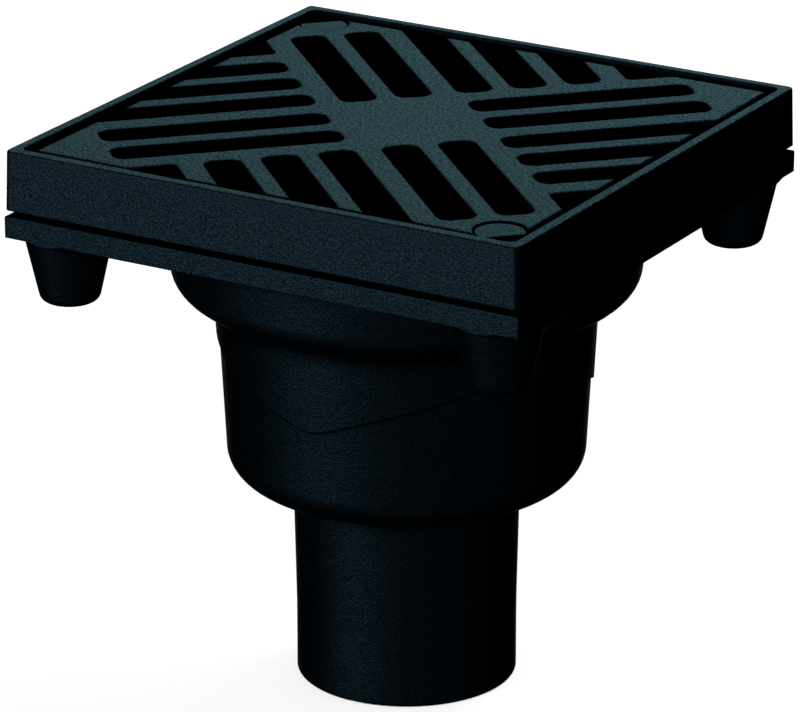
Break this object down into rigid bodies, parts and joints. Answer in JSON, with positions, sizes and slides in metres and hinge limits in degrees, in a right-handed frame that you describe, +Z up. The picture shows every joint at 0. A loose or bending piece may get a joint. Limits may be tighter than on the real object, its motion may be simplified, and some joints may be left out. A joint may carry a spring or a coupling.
{
  "type": "parking deck drain",
  "caption": "Cast iron deck drain: square slotted grate in a clamping frame, flanged body with screw bosses, round bowl and pot, and a straight pipe outlet below.",
  "frame": {"origin": "centre of the outlet's lower end, on the drain's upright axis", "axes": "+Z up along the outlet's axis towards the grate, +X and +Y square to the frame's sides"},
  "size_m": [0.2814, 0.2814, 0.288],
  "materials": {
    "coated_iron": "sand-cast iron with a thin blue-black bitumen coat, fine grain",
    "gasket_rubber": "matt black rubber sheet",
    "screw_steel": "stainless steel socket head screw",
    "plug_plastic": "dark matt plastic, finely grained"
  },
  "bodies": {
    "root": {"drain_body": "coated_iron", "flange_gasket": "gasket_rubber", "clamping_frame": "coated_iron", "grate": "coated_iron", "clamp_screws": "screw_steel", "locking_plugs": "plug_plastic"}
  },
  "joints": []
}
